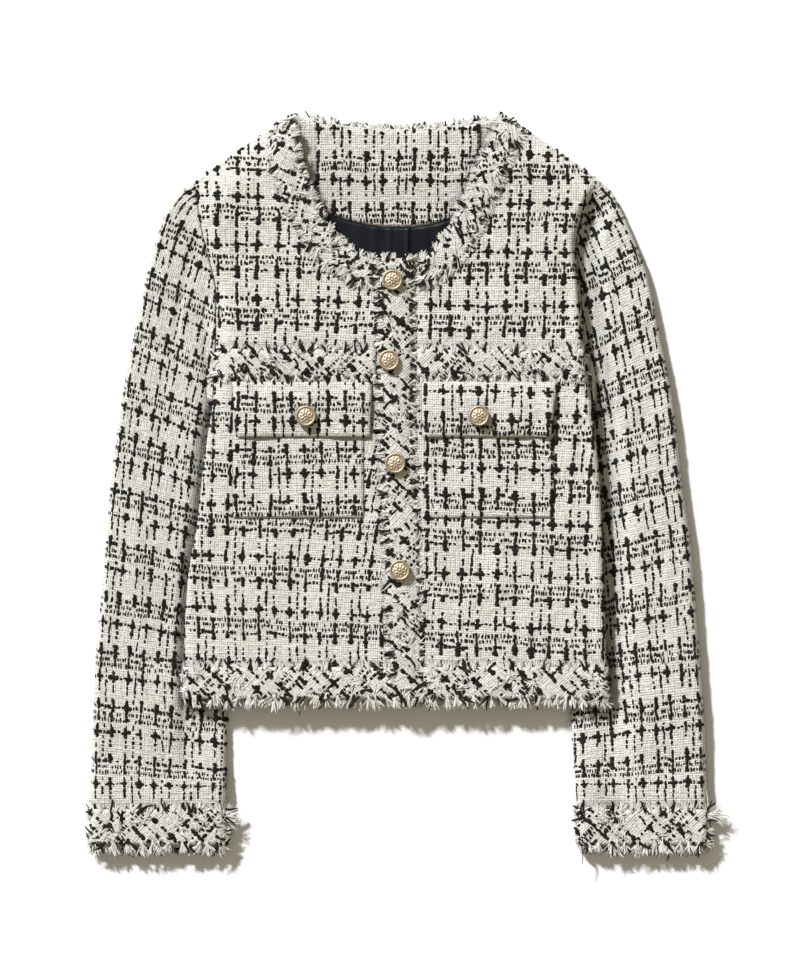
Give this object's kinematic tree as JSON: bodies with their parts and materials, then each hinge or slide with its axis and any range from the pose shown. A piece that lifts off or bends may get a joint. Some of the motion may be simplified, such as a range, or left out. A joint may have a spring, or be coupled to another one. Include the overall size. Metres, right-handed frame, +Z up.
{
  "type": "cropped tweed jacket",
  "caption": "Cropped collarless checked tweed jacket laid flat, buttoned, with frayed bias trims, long sleeves, flap chest pockets and domed metal buttons.",
  "frame": {"origin": "under the middle of the laid jacket's outline, on the surface it lies on", "axes": "+X from the wearer's right to the wearer's left, +Y from the hem to the neck, +Z up from the surface"},
  "size_m": [0.5594, 0.6508, 0.0268],
  "materials": {
    "tweed": "loose plain-weave boucle tweed, matte, cream with black checks",
    "trim": "the same tweed cut on the bias with frayed edges, matte",
    "lining": "dark navy lining satin",
    "button": "pale gold plated, polished relief"
  },
  "bodies": {
    "root": {"back": "tweed", "back_lining": "lining", "back_neck_facing": "tweed", "button_1": "button", "button_2": "button", "button_3": "button", "button_4": "button", "chest_trim_left": "trim", "chest_trim_right": "trim", "cuff_trim_left": "trim", "cuff_trim_right": "trim", "flap_button_left": "button", "flap_button_right": "button", "flap_left": "tweed", "flap_right": "tweed", "front_edge_trim": "trim", "front_left": "tweed", "front_right": "tweed", "hem_trim_back": "trim", "hem_trim_left": "trim", "hem_trim_right": "trim", "neck_trim_back": "trim", "neck_trim_left": "trim", "neck_trim_right": "trim", "pocket_left": "tweed", "pocket_right": "tweed", "sleeve_left": "tweed", "sleeve_right": "tweed"}
  },
  "joints": []
}
